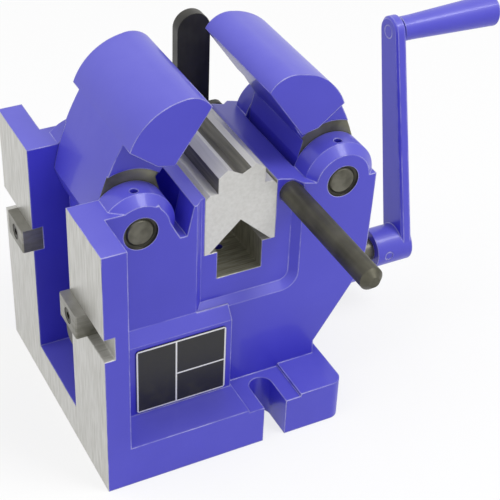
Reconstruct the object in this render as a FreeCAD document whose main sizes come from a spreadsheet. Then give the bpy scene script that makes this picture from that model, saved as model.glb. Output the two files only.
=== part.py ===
import FreeCAD, Part
import math
import os
import Sketcher

# Self-centering shaft vise, in millimetres.
# X runs from the machined end face to the crank, Y towards the back, Z up.
# The origin lies on the underside, below the middle of the V-block.

doc = FreeCAD.newDocument("ShaftVise")
sheet = doc.addObject("Spreadsheet::Sheet", "Sizes")


class Dim:
    """A length that knows its spreadsheet expression and its value."""

    def __init__(self, text, value):
        self.text = text
        self.value = float(value)

    def join(self, sign, other, value):
        return Dim("(" + self.text + sign + as_dim(other).text + ")", value)

    def __add__(self, other):
        return self.join(" + ", other, self.value + as_dim(other).value)

    def __sub__(self, other):
        return self.join(" - ", other, self.value - as_dim(other).value)

    def __mul__(self, other):
        return self.join(" * ", other, self.value * as_dim(other).value)

    def __truediv__(self, other):
        return self.join(" / ", other, self.value / as_dim(other).value)

    def __radd__(self, other):
        return as_dim(other) + self

    def __rsub__(self, other):
        return as_dim(other) - self

    def __rmul__(self, other):
        return as_dim(other) * self

    def __neg__(self):
        return Dim("(0 - " + self.text + ")", -self.value)


def as_dim(thing):
    """Turn a plain number into a Dim, and leave a Dim alone."""
    if isinstance(thing, Dim):
        return thing
    return Dim(repr(float(thing)), thing)


def root(dim):
    """Square root of a Dim."""
    return Dim("sqrt(" + dim.text + ")", math.sqrt(dim.value))


def sine(dim):
    """Sine of a Dim in degrees."""
    return Dim("sin(" + dim.text + ")", math.sin(math.radians(dim.value)))


def cosine(dim):
    """Cosine of a Dim in degrees."""
    return Dim("cos(" + dim.text + ")", math.cos(math.radians(dim.value)))


row = 0


def size(alias, value):
    """Write one driving dimension into the sheet and return its Dim."""
    global row
    row += 1
    cell = "B" + str(row)
    sheet.set("A" + str(row), alias.replace("_", " "))
    sheet.set(cell, str(value))
    sheet.setAlias(cell, alias)
    return Dim("Sizes." + alias, value)


# Casting
body_width = size("body_width", 175)
body_height = size("body_height", 184)
face_to_centre = size("face_to_centre", 107)
base_right = size("base_right", 61.5)
base_height = size("base_height", 31)
floor_height = size("floor_height", 27)
end_plate_thickness = size("end_plate_thickness", 16)
recess_width = size("recess_width", 67)
wall_width = size("wall_width", 108)
flange_corner = size("flange_corner", 8)

# Side wall outline
left_wall_top_end = size("left_wall_top_end", 56.5)
valley_height = size("valley_height", 157)
valley_left = size("valley_left", 43)
valley_right = size("valley_right", 38.5)
saddle_left = size("saddle_left", 34)
saddle_right = size("saddle_right", 43.5)
saddle_top = size("saddle_top", 177.5)
saddle_bottom = size("saddle_bottom", 106)
saddle_slope_start = size("saddle_slope_start", 27)
saddle_slope_drop = size("saddle_slope_drop", 6)
cheek_x = size("cheek_x", 91.5)
cheek_height = size("cheek_height", 116)
cheek_radius = size("cheek_radius", 70)
waist_x = size("waist_x", 56)
waist_height = size("waist_height", 42)
hip_x = size("hip_x", 83)
hip_height = size("hip_height", 84)

# Right end wall and screw housing
end_wall_top = size("end_wall_top", 132)
end_wall = size("end_wall", 8)
housing_right = size("housing_right", 82)
housing_half = size("housing_half", 31)
housing_low = size("housing_low", 31)
housing_high = size("housing_high", 92)
housing_wall = size("housing_wall", 8)
housing_corner = size("housing_corner", 12)
bearing_boss_right = size("bearing_boss_right", 112)
bearing_boss_radius = size("bearing_boss_radius", 20)

# Pivot bosses and pins
pin_spacing = size("pin_spacing", 137)
pin_height = size("pin_height", 167.5)
pin_diameter = size("pin_diameter", 18)
boss_radius = size("boss_radius", 24.5)
boss_front_radius = size("boss_front_radius", 19)
boss_front_depth = size("boss_front_depth", 6)
pin_recess_diameter = size("pin_recess_diameter", 22)
pin_recess_depth = size("pin_recess_depth", 1.5)
pin_clearance = size("pin_clearance", 0.05)
pin_chamfer = size("pin_chamfer", 1)
lock_screw_diameter = size("lock_screw_diameter", 5)
lock_screw_length = size("lock_screw_length", 6)
lock_screw_y = size("lock_screw_y", 44)

# V-block and its seat
vee_width = size("vee_width", 48.6)
vee_top_width = size("vee_top_width", 31.6)
vee_shoulder = size("vee_shoulder", 178)
vee_edge = size("vee_edge", 189)
vee_top = size("vee_top", 193.5)
vee_ridge = size("vee_ridge", 19)
vee_top_depth = size("vee_top_depth", 5)
vee_large_width = size("vee_large_width", 43)
vee_large_depth = size("vee_large_depth", 20.5)
vee_corner = size("vee_corner", 3)
seat_height = size("seat_height", 134.5)
seat_clearance = size("seat_clearance", 0.1)
channel_width = size("channel_width", 31)
channel_floor = size("channel_floor", 114)
panel_depth = size("panel_depth", 5)
panel_left = size("panel_left", 31.8)
panel_right = size("panel_right", 40.6)
panel_bottom = size("panel_bottom", 93.5)
panel_corner = size("panel_corner", 12)

# Base slots and end face keys
slot_width = size("slot_width", 16)
slot_x = size("slot_x", 10.4)
slot_end = size("slot_end", 59)
pad_width = size("pad_width", 37.8)
pad_depth = size("pad_depth", 2)
key_height = size("key_height", 17)
key_centre = size("key_centre", 116)
key_length = size("key_length", 27)
key_depth = size("key_depth", 7)
key_proud = size("key_proud", 7)
key_edge = size("key_edge", 0.8)
key_head_diameter = size("key_head_diameter", 10)
key_head_height = size("key_head_height", 6)
key_thread_diameter = size("key_thread_diameter", 6)
key_thread_length = size("key_thread_length", 7)
head_clearance = size("head_clearance", 0.3)

# Name pad on the front wall, with its plain plate
name_pad_face = size("name_pad_face", 60.5)
name_pad_right = size("name_pad_right", 9.5)
name_pad_top = size("name_pad_top", 87)
name_pad_slope = size("name_pad_slope", 9)
plate_left = size("plate_left", 76)
plate_length = size("plate_length", 62)
plate_low = size("plate_low", 33)
plate_tall = size("plate_tall", 51)
plate_thickness = size("plate_thickness", 1)
plate_corner = size("plate_corner", 2)

# Jaws
jaw_width = size("jaw_width", 89)
arm_width = size("arm_width", 69)
tail_width = size("tail_width", 45)
tip_gap = size("tip_gap", 37.4)
tip_height = size("tip_height", 237)
crown_x = size("crown_x", 38)
crown_height = size("crown_height", 245.3)
back_x = size("back_x", 70.8)
back_height = size("back_height", 218.5)
palm_x = size("palm_x", 53.3)
palm_height = size("palm_height", 204.8)
heel_x = size("heel_x", 42.5)
heel_height = size("heel_height", 202.6)
crown_radius = size("crown_radius", 17.5)
back_radius = size("back_radius", 41)
arm_radius = size("arm_radius", 170)
notch_x = size("notch_x", 50)
notch_height = size("notch_height", 190)
arm_foot = size("arm_foot", 24.5)
tail_inner_x = size("tail_inner_x", 53)
tail_bend_height = size("tail_bend_height", 98)
tail_outer_x = size("tail_outer_x", 73)
tail_outer_height = size("tail_outer_height", 126)
hub_radius = size("hub_radius", 21.5)
spot_radius = size("spot_radius", 33)
fork_half = size("fork_half", 10)
fork_reach = size("fork_reach", 8)
fork_gap_top = size("fork_gap_top", 88)
side_clearance = size("side_clearance", 0.4)

# Cross screw, nuts and bearings
screw_height = size("screw_height", 60)
screw_diameter = size("screw_diameter", 20)
screw_left_end = size("screw_left_end", 96)
thread_right_end = size("thread_right_end", 73)
journal_diameter = size("journal_diameter", 16)
collar_diameter = size("collar_diameter", 28)
collar_thickness = size("collar_thickness", 4.8)
spindle_diameter = size("spindle_diameter", 16)
screw_chamfer = size("screw_chamfer", 1.5)
nut_x = size("nut_x", 38)
nut_length = size("nut_length", 20)
nut_width = size("nut_width", 30)
nut_height = size("nut_height", 30)
nut_edge = size("nut_edge", 2)
trunnion_diameter = size("trunnion_diameter", 10)
trunnion_play = size("trunnion_play", 0.9)
thread_clearance = size("thread_clearance", 0.1)
bearing_thickness = size("bearing_thickness", 14)
bearing_width = size("bearing_width", 52)
bearing_cap_top = size("bearing_cap_top", 76)
pedestal_height = size("pedestal_height", 42)
pedestal_length = size("pedestal_length", 24)
cap_screw_spacing = size("cap_screw_spacing", 38)
cap_screw_diameter = size("cap_screw_diameter", 6)
cap_screw_grip = size("cap_screw_grip", 8)
collar_clearance = size("collar_clearance", 0.15)
bush_outer = size("bush_outer", 24)
bush_flange = size("bush_flange", 34)
bush_flange_thickness = size("bush_flange_thickness", 4)

# Crank and grip
hub_left = size("hub_left", 130)
hub_right = size("hub_right", 158)
crank_hub_radius = size("crank_hub_radius", 14)
arm_thickness = size("arm_thickness", 8)
arm_root_width = size("arm_root_width", 27)
eye_radius = size("eye_radius", 10.5)
crank_throw = size("crank_throw", 156.5)
crank_lean = size("crank_lean", 12.2)
crank_edge = size("crank_edge", 1.5)
crank_pin_diameter = size("crank_pin_diameter", 6)
crank_pin_x = size("crank_pin_x", 139)
grip_gap = size("grip_gap", 1)
grip_length = size("grip_length", 76)
grip_neck = size("grip_neck", 17)
grip_end = size("grip_end", 22.5)
grip_edge = size("grip_edge", 2)
grip_spindle_diameter = size("grip_spindle_diameter", 9)
grip_bore_clearance = size("grip_bore_clearance", 0.1)
grip_head_diameter = size("grip_head_diameter", 14)
grip_head_height = size("grip_head_height", 3)
grip_head_pocket = size("grip_head_pocket", 5)

# Work stop
rod_diameter = size("rod_diameter", 15)
rod_x = size("rod_x", 34)
rod_height = size("rod_height", 166.5)
rod_front = size("rod_front", 150)
rod_dome = size("rod_dome", 4)
rod_tail_diameter = size("rod_tail_diameter", 8)
rod_clearance = size("rod_clearance", 0.05)
stop_gap = size("stop_gap", 2.3)
stop_thickness = size("stop_thickness", 8)
stop_width = size("stop_width", 23)
stop_centre = size("stop_centre", 16.6)
stop_top = size("stop_top", 242)
stop_foot_thickness = size("stop_foot_thickness", 5)
stop_foot_radius = size("stop_foot_radius", 6)
stop_screw_diameter = size("stop_screw_diameter", 3)
stop_screw_length = size("stop_screw_length", 5)

# How far a cut runs past the face that it opens
overcut = size("overcut", 1)

# Places worked out from the sizes
half_width = body_width / 2
half_recess = recess_width / 2
half_wall = wall_width / 2
end_face = -face_to_centre
plate_inner = end_face + end_plate_thickness
pin_x = pin_spacing / 2
half_vee = vee_width / 2
pocket_half = half_vee + seat_clearance
rod_bore = rod_diameter / 2 + rod_clearance


def bind(thing, name, dim):
    """Bind one property of an object to its expression."""
    thing.setExpression(name, as_dim(dim).text)


def place(thing, x=0, y=0, z=0):
    """Bind the position of an object."""
    for axis, dim in zip("xyz", (x, y, z)):
        bind(thing, "Placement.Base." + axis, dim)


def box(name, x, y, z):
    """A box between pairs of limits along X, Y and Z."""
    thing = doc.addObject("Part::Box", name)
    place(thing, x[0], y[0], z[0])
    bind(thing, "Length", as_dim(x[1]) - x[0])
    bind(thing, "Width", as_dim(y[1]) - y[0])
    bind(thing, "Height", as_dim(z[1]) - z[0])
    return thing


TURNS = {
    "x": FreeCAD.Rotation(FreeCAD.Vector(0, 1, 0), 90),
    "y": FreeCAD.Rotation(FreeCAD.Vector(1, 0, 0), -90),
    "z": FreeCAD.Rotation(),
}


def base_point(axis, start, centre):
    """The start of a round piece that runs along an axis."""
    if axis == "x":
        return (start, centre[0], centre[1])
    if axis == "y":
        return (centre[0], start, centre[1])
    return (centre[0], centre[1], start)


def rod(name, axis, start, end, centre, radius):
    """A cylinder along an axis, about a centre in the other two."""
    thing = doc.addObject("Part::Cylinder", name)
    thing.Placement = FreeCAD.Placement(FreeCAD.Vector(), TURNS[axis])
    place(thing, *base_point(axis, start, centre))
    bind(thing, "Height", as_dim(end) - start)
    bind(thing, "Radius", radius)
    return thing


def cone(name, axis, start, end, centre, first, second):
    """A cone along an axis, from its first radius to its second."""
    thing = doc.addObject("Part::Cone", name)
    thing.Placement = FreeCAD.Placement(FreeCAD.Vector(), TURNS[axis])
    place(thing, *base_point(axis, start, centre))
    bind(thing, "Height", as_dim(end) - start)
    bind(thing, "Radius1", first)
    bind(thing, "Radius2", second)
    return thing


def fuse(name, pieces):
    """Join pieces into one solid."""
    thing = doc.addObject("Part::MultiFuse", name)
    thing.Shapes = pieces
    thing.Refine = True
    return thing


def cut(name, base, tools):
    """Take tools away from a base."""
    if len(tools) > 1:
        tool = doc.addObject("Part::MultiFuse", name + "_tools")
        tool.Shapes = tools
        tool.Refine = False
    else:
        tool = tools[0]
    thing = doc.addObject("Part::Cut", name)
    thing.Base = base
    thing.Tool = tool
    thing.Refine = True
    return thing


def new_body(name):
    """An empty body for sketched features."""
    return doc.addObject("PartDesign::Body", name)


PLANES = {"x": "YZ_Plane", "y": "XZ_Plane", "z": "XY_Plane"}


def new_sketch(body, name, axis, offset):
    """A sketch across an axis, at an offset along the plane's normal."""
    sketch = body.newObject("Sketcher::SketchObject", name)
    plane = [one for one in body.Origin.OriginFeatures if one.Role == PLANES[axis]][0]
    sketch.AttachmentSupport = [(plane, "")]
    sketch.MapMode = "FlatFace"
    bind(sketch, "AttachmentOffset.Base.z", offset)
    return sketch


def fix_point(sketch, edge, end, point):
    """Tie one end of an edge to its two coordinates."""
    for kind, dim in zip(("DistanceX", "DistanceY"), point):
        dim = as_dim(dim)
        index = sketch.addConstraint(Sketcher.Constraint(kind, -1, 1, edge, end, dim.value))
        sketch.setExpression("Constraints[" + str(index) + "]", dim.text)


def bulge_centre(first, second, radius):
    """Centre of the arc from first to second; a positive radius curves to the left."""
    middle = ((first[0] + second[0]) / 2, (first[1] + second[1]) / 2)
    along = (second[0] - first[0], second[1] - first[1])
    chord = math.hypot(along[0], along[1])
    rise = math.sqrt(max(radius * radius - chord * chord / 4, 0))
    side = 1 if radius > 0 else -1
    return (middle[0] - along[1] / chord * rise * side, middle[1] + along[0] / chord * rise * side)


def arc_between(first, second, radius):
    """The minor arc between two points."""
    centre = bulge_centre(first, second, radius)
    middle = ((first[0] + second[0]) / 2 - centre[0], (first[1] + second[1]) / 2 - centre[1])
    scale = abs(radius) / math.hypot(middle[0], middle[1])
    top = (centre[0] + middle[0] * scale, centre[1] + middle[1] * scale)
    points = [FreeCAD.Vector(one[0], one[1], 0) for one in (first, top, second)]
    return Part.Arc(points[0], points[1], points[2])


def draw(sketch, corners):
    """A closed outline. A corner with a third value starts an arc of that radius."""
    corners = [tuple(as_dim(one) for one in corner) for corner in corners]
    edges = []
    for index, corner in enumerate(corners):
        follow = corners[(index + 1) % len(corners)]
        first = (corner[0].value, corner[1].value)
        second = (follow[0].value, follow[1].value)
        if len(corner) == 3:
            shape = arc_between(first, second, corner[2].value)
        else:
            shape = Part.LineSegment(FreeCAD.Vector(*first, 0), FreeCAD.Vector(*second, 0))
        edges.append(sketch.addGeometry(shape, False))
    ends = []
    for edge, corner in zip(edges, corners):
        first = sketch.getPoint(edge, 1)
        near = math.hypot(first.x - corner[0].value, first.y - corner[1].value) < 0.001
        ends.append((1, 2) if near else (2, 1))
    for index in range(len(corners)):
        follow = (index + 1) % len(corners)
        join = Sketcher.Constraint("Coincident", edges[index], ends[index][1], edges[follow], ends[follow][0])
        sketch.addConstraint(join)
    for edge, end, corner in zip(edges, ends, corners):
        fix_point(sketch, edge, end[0], corner)
        if len(corner) == 3:
            radius = Dim("abs(" + corner[2].text + ")", abs(corner[2].value))
            index = sketch.addConstraint(Sketcher.Constraint("Radius", edge, radius.value))
            sketch.setExpression("Constraints[" + str(index) + "]", radius.text)


def draw_circle(sketch, centre, radius):
    """A circle about a centre."""
    centre = [as_dim(one) for one in centre]
    radius = as_dim(radius)
    middle = FreeCAD.Vector(centre[0].value, centre[1].value, 0)
    edge = sketch.addGeometry(Part.Circle(middle, FreeCAD.Vector(0, 0, 1), radius.value), False)
    fix_point(sketch, edge, 3, centre)
    index = sketch.addConstraint(Sketcher.Constraint("Radius", edge, radius.value))
    sketch.setExpression("Constraints[" + str(index) + "]", radius.text)


def pad(body, name, axis, low, high, corners=None, circle=None):
    """Add material between two levels along an axis."""
    offset = -as_dim(high) if axis == "y" else as_dim(low)
    sketch = new_sketch(body, name + "_sketch", axis, offset)
    if corners:
        draw(sketch, corners)
    else:
        draw_circle(sketch, *circle)
    feature = body.newObject("PartDesign::Pad", name)
    feature.Profile = sketch
    bind(feature, "Length", as_dim(high) - low)
    return feature


def pocket(body, name, axis, low, high, corners=None, circle=None):
    """Take material away between two levels along an axis."""
    offset = -as_dim(low) if axis == "y" else as_dim(high)
    sketch = new_sketch(body, name + "_sketch", axis, offset)
    if corners:
        draw(sketch, corners)
    else:
        draw_circle(sketch, *circle)
    feature = body.newObject("PartDesign::Pocket", name)
    feature.Profile = sketch
    bind(feature, "Length", as_dim(high) - low)
    return feature


def ordered(first, second):
    """Two limits, the lower one first."""
    return sorted((as_dim(first), as_dim(second)), key=lambda dim: dim.value)


def rectangle(x, y):
    """Corners of a rectangle from pairs of limits."""
    return [(x[0], y[0]), (x[1], y[0]), (x[1], y[1]), (x[0], y[1])]


def revolve(body, name, corners):
    """Turn an outline of (x, radius) pairs about the X axis."""
    sketch = new_sketch(body, name + "_sketch", "y", 0)
    draw(sketch, corners)
    feature = body.newObject("PartDesign::Revolution", name)
    feature.Profile = sketch
    feature.ReferenceAxis = (sketch, ["H_Axis"])
    feature.Angle = 360
    return feature


def edges_where(shape, test):
    """Names of the edges whose middle point and direction pass a test."""
    names = []
    for index, edge in enumerate(shape.Edges):
        middle = edge.CenterOfMass
        along = edge.Vertexes[-1].Point - edge.Vertexes[0].Point
        if test(edge, middle, along):
            names.append("Edge" + str(index + 1))
    return names


def chamfer(body, name, base, names, amount):
    """Bevel named edges of a body's last feature."""
    feature = body.newObject("PartDesign::Chamfer", name)
    feature.Base = (base, names)
    bind(feature, "Size", amount)
    return feature


pieces = {}


def finish(thing, node):
    """Give a finished piece the name of its file."""
    thing.Label = node
    pieces[node] = thing


def round_hole(name, axis, start, end, centre, diameter):
    """A cutting cylinder of a given diameter."""
    return rod(name, axis, start, end, centre, diameter / 2)


# Body casting
def make_casting():
    start = end_face + end_plate_thickness / 2
    boss_edge = pin_x + boss_radius
    slope_end = pin_x - boss_front_radius
    walls = new_body("side_walls")
    pad(walls, "wall_outline", "y", -half_wall, half_wall, [
        (start, base_height / 2),
        (waist_x, base_height / 2),
        (waist_x, waist_height),
        (hip_x, hip_height, cheek_radius),
        (cheek_x, cheek_height),
        (boss_edge, pin_height),
        (pin_x, pin_height),
        (slope_end, saddle_top - saddle_slope_drop),
        (saddle_slope_start, saddle_top),
        (-saddle_left, saddle_top),
        (-valley_right, valley_height),
        (-valley_left, valley_height),
        (-left_wall_top_end, body_height),
        (start, body_height),
    ])
    corner = flange_corner
    flange = new_body("base_flange")
    pad(flange, "flange_outline", "z", 0, base_height, [
        (start, -half_width),
        (base_right - corner, -half_width, corner),
        (base_right, corner - half_width),
        (base_right, half_width - corner, corner),
        (base_right - corner, half_width),
        (start, half_width),
    ])
    end_plate = box("end_plate", (end_face, plate_inner), (-half_width, half_width), (0, body_height))
    name_pads = new_body("name_pads")
    slope_top = name_pad_top + name_pad_slope
    pad(name_pads, "pad_section", "x", start, -name_pad_right, [
        (-name_pad_face, base_height / 2),
        (name_pad_face, base_height / 2),
        (name_pad_face, name_pad_top),
        (half_wall, slope_top),
        (-half_wall, slope_top),
        (-name_pad_face, name_pad_top),
    ])
    solids = [walls, flange, end_plate, name_pads]
    inner = half_wall - boss_front_depth
    for side, x in (("left", -pin_x), ("right", pin_x)):
        centre = (x, pin_height)
        wide, narrow = boss_radius, boss_front_radius
        solids.append(rod(side + "_boss", "y", -inner, inner, centre, wide))
        solids.append(cone(side + "_boss_back", "y", inner, half_wall, centre, wide, narrow))
        solids.append(cone(side + "_boss_front", "y", -half_wall, -inner, centre, narrow, wide))
    housing = new_body("screw_housing")
    round_off = housing_corner
    pad(housing, "housing_section", "x", waist_x - end_wall, housing_right, [
        (-housing_half, housing_low + round_off, round_off),
        (round_off - housing_half, housing_low),
        (housing_half - round_off, housing_low, round_off),
        (housing_half, housing_low + round_off),
        (housing_half, housing_high - round_off, round_off),
        (housing_half - round_off, housing_high),
        (round_off - housing_half, housing_high, round_off),
        (-housing_half, housing_high - round_off),
    ])
    axis = (0, screw_height)
    solids.append(housing)
    housing_inner = housing_right - housing_wall
    solids.append(rod("bearing_boss", "x", housing_inner, bearing_boss_right, axis, bearing_boss_radius))
    outside = fuse("casting_outside", solids)

    beyond = boss_radius * 2
    high = body_height + beyond
    cavity = new_body("cavity")
    inner_x = cheek_x - end_wall
    pad(cavity, "cavity_outline", "y", -half_recess, half_recess, [
        (end_face - overcut, floor_height),
        (waist_x - end_wall, floor_height),
        (waist_x - end_wall, waist_height),
        (hip_x - end_wall, hip_height),
        (inner_x, cheek_height),
        (inner_x, end_wall_top),
        (cheek_x + beyond, end_wall_top),
        (cheek_x + beyond, high),
        (saddle_right, high),
        (saddle_right, saddle_bottom),
        (-saddle_left, saddle_bottom),
        (-saddle_left, high),
        (end_face - overcut, high),
    ])
    fork_room = tail_width / 2 + 1
    nut_room = box("nut_room", (0, housing_inner), (-fork_room, fork_room),
                   (housing_low + housing_wall - 1, housing_high - housing_wall / 2))
    shell = cut("casting_shell", outside, [cavity, nut_room])
    ped = pedestal_length / 2
    pedestal = box("pedestal", (-ped, ped), (-half_recess, half_recess), (floor_height, pedestal_height))
    solid = fuse("casting_solid", [shell, pedestal])

    past = half_width + overcut
    tools = [
        box("vee_pocket", (-pocket_half, pocket_half), (-past, past), (seat_height, high)),
        box("channel", (-channel_width / 2, channel_width / 2), (-past, past), (channel_floor, high)),
        box("key_slot", (end_face - overcut, end_face + key_depth), (-past, past),
            (key_centre - key_height / 2, key_centre + key_height / 2)),
        round_hole("rod_bore", "y", -past, past, (rod_x, rod_height), rod_bore * 2),
        round_hole("bush_bore", "x", housing_inner - overcut, bearing_boss_right + overcut, axis, bush_outer),
    ]
    for side, x in (("left", -pin_x), ("right", pin_x)):
        centre = (x, pin_height)
        bore = pin_diameter + pin_clearance * 2
        tools.append(round_hole(side + "_pin_bore", "y", -past, past, centre, bore))
        for face, sign in (("front", -1), ("back", 1)):
            ends = ordered(sign * (half_wall - pin_recess_depth), sign * past)
            tools.append(round_hole(side + "_" + face + "_recess", "y", ends[0], ends[1], centre,
                                    pin_recess_diameter))
        tools.append(round_hole(side + "_oil_hole", "z", pin_height, high,
                                (x, -lock_screw_y), lock_screw_diameter))
    for face, sign in (("front", -1), ("back", 1)):
        slot_sides = (slot_x - slot_width / 2, slot_x + slot_width / 2)
        slot_ends = ordered(sign * (slot_end + slot_width / 2), sign * past)
        middle = (slot_x, sign * (slot_end + slot_width / 2))
        tools.append(box(face + "_slot", slot_sides, slot_ends, (-overcut, base_height + overcut)))
        tools.append(round_hole(face + "_slot_end", "z", -overcut, base_height + overcut, middle, slot_width))
        pad_sides = (slot_x - pad_width / 2, slot_x + pad_width / 2)
        pad_ends = ordered(sign * half_wall, sign * past)
        pad_levels = (base_height - pad_depth, base_height + overcut)
        tools.append(box(face + "_slot_pad", pad_sides, pad_ends, pad_levels))
        panel = new_body(face + "_panel")
        edge = sign * half_wall
        sketch = new_sketch(panel, face + "_panel_sketch", "y", -edge)
        draw(sketch, [
            (-panel_left, panel_bottom),
            (panel_right - panel_corner, panel_bottom, panel_corner),
            (panel_right, panel_bottom + panel_corner),
            (panel_right, high),
            (-panel_left, high),
        ])
        feature = panel.newObject("PartDesign::Pad", face + "_panel_cut")
        feature.Profile = sketch
        feature.Reversed = sign < 0
        bind(feature, "Length", panel_depth)
        feature.TaperAngle = -45
        tools.append(panel)
        y = sign * (half_recess + key_length / 2)
        tools.append(round_hole(face + "_key_thread", "x", end_face, end_face + key_depth + key_thread_length,
                                (y, key_centre), key_thread_diameter))
        tools.append(round_hole(face + "_cap_thread", "z", pedestal_height - cap_screw_grip, high,
                                (0, sign * cap_screw_spacing / 2), cap_screw_diameter))
    finish(cut("body", solid, tools), "body_casting")


# V-block
def make_vee_block():
    block = new_body("vee")
    reach = half_wall - panel_depth
    half_top = vee_top_width / 2
    half_large = vee_large_width / 2
    half_ridge = vee_ridge / 2
    pad(block, "vee_section", "y", -reach, reach, [
        (-half_vee, seat_height),
        (-half_large, seat_height),
        (0, seat_height + vee_large_depth),
        (half_large, seat_height),
        (half_vee, seat_height),
        (half_vee, vee_shoulder - vee_corner),
        (half_vee - vee_corner, vee_shoulder),
        (half_top, vee_shoulder),
        (half_top, vee_edge),
        (half_ridge, vee_top),
        (0, vee_top - vee_top_depth),
        (-half_ridge, vee_top),
        (-half_top, vee_edge),
        (-half_top, vee_shoulder),
        (vee_corner - half_vee, vee_shoulder),
        (-half_vee, vee_shoulder - vee_corner),
    ])
    finish(block, "v_block")


# Jaws and their pivot pins
def flipped(corners, sign):
    """Mirror an outline across the middle plane for the left side."""
    if sign > 0:
        return corners
    mirrored = []
    for corner in corners:
        mirrored.append((-as_dim(corner[0]), corner[1]) + tuple(-one for one in corner[2:]))
    return mirrored


def make_jaw(side, sign):
    jaw = new_body(side + "_jaw_body")
    tip = (tip_gap / 2, tip_height)
    heel = (heel_x, heel_height)
    back = (back_x, back_height)
    pad(jaw, side + "_claw", "y", -jaw_width / 2, jaw_width / 2, flipped([
        tip,
        heel,
        (palm_x, palm_height),
        back + (back_radius,),
        (crown_x, crown_height, crown_radius),
    ], sign))
    hub_inner = pin_x - hub_radius
    hub_outer = pin_x + hub_radius
    foot = pin_height - arm_foot
    pad(jaw, side + "_arm", "y", -arm_width / 2, arm_width / 2, flipped([
        heel,
        (notch_x, notch_height),
        (hub_inner, pin_height + hub_radius / 2),
        (hub_inner, pin_height),
        (hub_inner + 1, foot),
        (pin_x, foot),
        (pin_x + hub_radius * 3 / 4, pin_height - hub_radius * 3 / 4),
        (hub_outer, pin_height, arm_radius),
        back,
    ], sign))
    drop = pin_height - screw_height
    inset = pin_x - nut_x
    reach = root(drop * drop + inset * inset)
    along = (-inset / reach, -drop / reach)
    across = (drop / reach, -inset / reach)

    def fork_point(radius, offset):
        return (pin_x + along[0] * radius + across[0] * offset,
                pin_height + along[1] * radius + across[1] * offset)

    end = reach + fork_reach
    bend = reach - fork_half * 5 / 2
    pad(jaw, side + "_tail", "y", -tail_width / 2, tail_width / 2, flipped([
        (hub_inner + 1, pin_height),
        (hub_inner + 1, foot),
        (tail_inner_x, saddle_bottom),
        (tail_inner_x - fork_half / 2, tail_bend_height),
        fork_point(bend, -fork_half),
        fork_point(end, -fork_half),
        fork_point(end, fork_half),
        fork_point(bend, fork_half),
        (tail_outer_x, tail_outer_height),
        (pin_x + hub_radius * 3 / 4, foot),
        (pin_x + hub_radius * 3 / 4, pin_height),
    ], sign))
    gap = nut_width / 2 + side_clearance
    pocket(jaw, side + "_fork_gap", "y", -gap, gap, flipped(
        rectangle((0, pin_x + hub_radius), (0, fork_gap_top)), sign))
    slot = trunnion_diameter / 2 + trunnion_play
    pocket(jaw, side + "_fork_slot", "y", -tail_width, tail_width, flipped([
        fork_point(drop - slot - 1, -slot),
        fork_point(end + fork_half, -slot),
        fork_point(end + fork_half, slot),
        fork_point(drop - slot - 1, slot),
    ], sign))
    bore = pin_diameter / 2 + pin_clearance
    pocket(jaw, side + "_pivot_bore", "y", -arm_width, arm_width, circle=((sign * pin_x, pin_height), bore))
    faced = half_recess - side_clearance
    spot = ((sign * pin_x, pin_height), spot_radius)
    pocket(jaw, side + "_spot_front", "y", -arm_width, -faced, circle=spot)
    pocket(jaw, side + "_spot_back", "y", faced, arm_width, circle=spot)
    finish(jaw, side + "_jaw")


ALONG_Y = FreeCAD.Rotation(FreeCAD.Vector(0, 0, 1), -90)


def turned(name, corners, x, y, z, rotation=None):
    """A turned piece, drawn about its own X axis and put in its place."""
    piece = new_body(name)
    if rotation:
        piece.Placement = FreeCAD.Placement(FreeCAD.Vector(), rotation)
    place(piece, x, y, z)
    revolve(piece, name + "_turned", corners)
    return piece


def plain_shaft(start, end, radius, bevel):
    """Outline of a shaft with beveled ends."""
    return [(start, 0), (end, 0), (end, radius - bevel), (end - bevel, radius),
            (start + bevel, radius), (start, radius - bevel)]


def make_pins():
    half = half_wall - pin_recess_depth / 2
    low = pin_height + pin_diameter / 2 + pin_clearance
    for side, sign in (("left", -1), ("right", 1)):
        outline = plain_shaft(-half, half, pin_diameter / 2, pin_chamfer)
        pin = turned(side + "_pin", outline, sign * pin_x, 0, pin_height, ALONG_Y)
        finish(pin, side + "_pivot_pin")
        screw = rod(side + "_grub", "z", low, low + lock_screw_length,
                    (sign * pin_x, -lock_screw_y), lock_screw_diameter / 2)
        finish(screw, side + "_pin_lock_screw")


def cap_screw(name, axis, tip, seat, top, centre, diameter, head_diameter):
    """A screw with a round head and a six-sided socket, given from its tip to its top."""
    shank = rod(name + "_shank", axis, *ordered(tip, seat), centre, diameter / 2)
    head = rod(name + "_head", axis, *ordered(seat, top), centre, head_diameter / 2)
    low, high = ordered((seat + top) / 2, top)
    socket = doc.addObject("Part::Prism", name + "_socket")
    socket.Polygon = 6
    socket.Placement = FreeCAD.Placement(FreeCAD.Vector(), TURNS[axis])
    place(socket, *base_point(axis, low, centre))
    bind(socket, "Circumradius", head_diameter / 4)
    bind(socket, "Height", high - low)
    return cut(name + "_finished", fuse(name + "_whole", [shank, head]), [socket])


def group(name, members, node):
    """Equal pieces that share one file."""
    compound = doc.addObject("Part::Compound", name)
    compound.Links = members
    finish(compound, node)


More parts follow.
